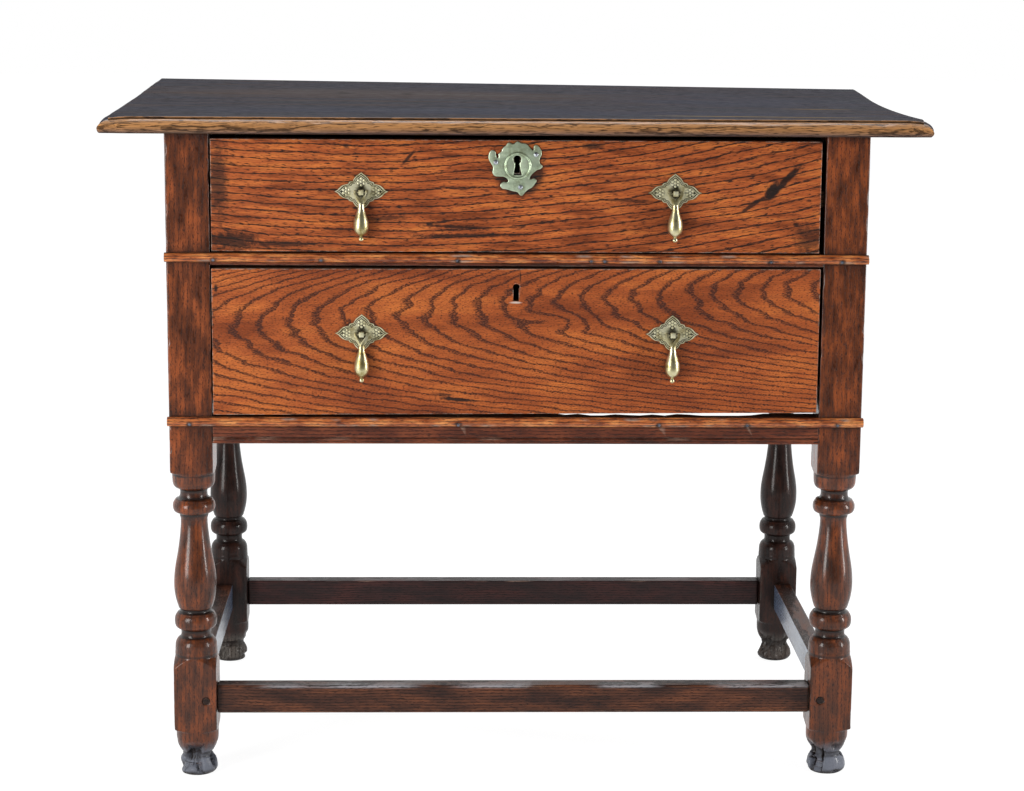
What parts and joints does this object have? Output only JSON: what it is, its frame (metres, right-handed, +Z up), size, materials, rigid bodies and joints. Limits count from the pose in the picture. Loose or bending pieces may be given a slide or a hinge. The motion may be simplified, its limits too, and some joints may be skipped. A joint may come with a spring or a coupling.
{
  "type": "lowboy",
  "caption": "Joined oak side table with a shallow and a deep drawer, turned baluster legs, box stretchers, half-round bead mouldings and pear-drop handles.",
  "frame": {"origin": "on the floor, under the middle of the top", "axes": "+X to the right along the front, +Y from the front to the back, +Z up"},
  "size_m": [0.927, 0.56, 0.773],
  "materials": {
    "top_oak": "old wax polish, worn at the front edge",
    "leg_oak": "dark varnish, satin, worn at the feet",
    "frame_oak": "dark wax polish, satin",
    "stretcher_oak": "dark wax polish, satin",
    "drawer_front_oak": "warm varnish with open dark grain",
    "moulding_oak": "dark wax polish, satin",
    "peg_oak": "dark end grain, matt",
    "inside_oak": "bare, dusty, matt",
    "brass": "aged, dull",
    "nail_iron": "rusted, matt",
    "lock_iron": "old wrought iron, matt",
    "pin_steel": "dull dome heads"
  },
  "bodies": {
    "frame": {"top_plank_front": "top_oak", "top_plank_back": "top_oak", "top_pegs": "peg_oak", "leg_front_left": "leg_oak", "leg_front_right": "leg_oak", "leg_back_left": "leg_oak", "leg_back_right": "leg_oak", "drawer_divider_rail": "frame_oak", "front_bottom_rail": "frame_oak", "bead_moulding_upper": "moulding_oak", "bead_moulding_lower": "moulding_oak", "moulding_nails": "nail_iron", "side_rail_top_left": "frame_oak", "side_rail_top_right": "frame_oak", "side_rail_bottom_left": "frame_oak", "side_rail_bottom_right": "frame_oak", "side_panel_left": "frame_oak", "side_panel_right": "frame_oak", "back_rail_top": "frame_oak", "back_rail_bottom": "frame_oak", "back_panel": "frame_oak", "stretcher_front": "stretcher_oak", "stretcher_back": "stretcher_oak", "stretcher_left": "stretcher_oak", "stretcher_right": "stretcher_oak", "frame_pegs": "peg_oak", "runner_upper_left": "inside_oak", "runner_upper_right": "inside_oak", "runner_lower_left": "inside_oak", "runner_lower_right": "inside_oak", "runner_nails": "nail_iron"},
    "upper_drawer": {"upper_drawer_front": "drawer_front_oak", "upper_drawer_side_left": "inside_oak", "upper_drawer_side_right": "inside_oak", "upper_drawer_back": "inside_oak", "upper_drawer_bottom": "inside_oak", "upper_drawer_nails": "nail_iron", "upper_lock_case": "lock_iron", "upper_handle_plates": "brass", "upper_handle_posts": "brass", "escutcheon": "brass", "escutcheon_pins": "pin_steel"},
    "lower_drawer": {"lower_drawer_front": "drawer_front_oak", "lower_drawer_side_left": "inside_oak", "lower_drawer_side_right": "inside_oak", "lower_drawer_back": "inside_oak", "lower_drawer_bottom": "inside_oak", "lower_drawer_nails": "nail_iron", "lower_lock_case": "lock_iron", "lower_handle_plates": "brass", "lower_handle_posts": "brass"},
    "upper_left_drop": {"upper_drop_left": "brass"},
    "upper_right_drop": {"upper_drop_right": "brass"},
    "upper_bolt": {"upper_lock_bolt": "lock_iron"},
    "lower_left_drop": {"lower_drop_left": "brass"},
    "lower_right_drop": {"lower_drop_right": "brass"},
    "lower_bolt": {"lower_lock_bolt": "lock_iron"}
  },
  "joints": [
    {"name": "upper_drawer_slide", "type": "slide", "parent": "frame", "child": "upper_drawer", "axis": [0, -1, 0], "range_m": [0, 0.3]},
    {"name": "upper_left_drop_swing", "type": "hinge", "parent": "upper_drawer", "child": "upper_left_drop", "pos_m": [-0.1745, -0.259, 0.6808], "axis": [-1, 0, 0], "range_deg": [0, 180]},
    {"name": "upper_right_drop_swing", "type": "hinge", "parent": "upper_drawer", "child": "upper_right_drop", "pos_m": [0.1745, -0.259, 0.6808], "axis": [-1, 0, 0], "range_deg": [0, 180]},
    {"name": "upper_bolt_slide", "type": "slide", "parent": "upper_drawer", "child": "upper_bolt", "axis": [0, 0, 1], "range_m": [0, 0.012]},
    {"name": "lower_drawer_slide", "type": "slide", "parent": "frame", "child": "lower_drawer", "axis": [0, -1, 0], "range_m": [0, 0.3]},
    {"name": "lower_left_drop_swing", "type": "hinge", "parent": "lower_drawer", "child": "lower_left_drop", "pos_m": [-0.1745, -0.259, 0.5216], "axis": [-1, 0, 0], "range_deg": [0, 180]},
    {"name": "lower_right_drop_swing", "type": "hinge", "parent": "lower_drawer", "child": "lower_right_drop", "pos_m": [0.1745, -0.259, 0.5216], "axis": [-1, 0, 0], "range_deg": [0, 180]},
    {"name": "lower_bolt_slide", "type": "slide", "parent": "lower_drawer", "child": "lower_bolt", "axis": [0, 0, 1], "range_m": [0, 0.012]}
  ]
}
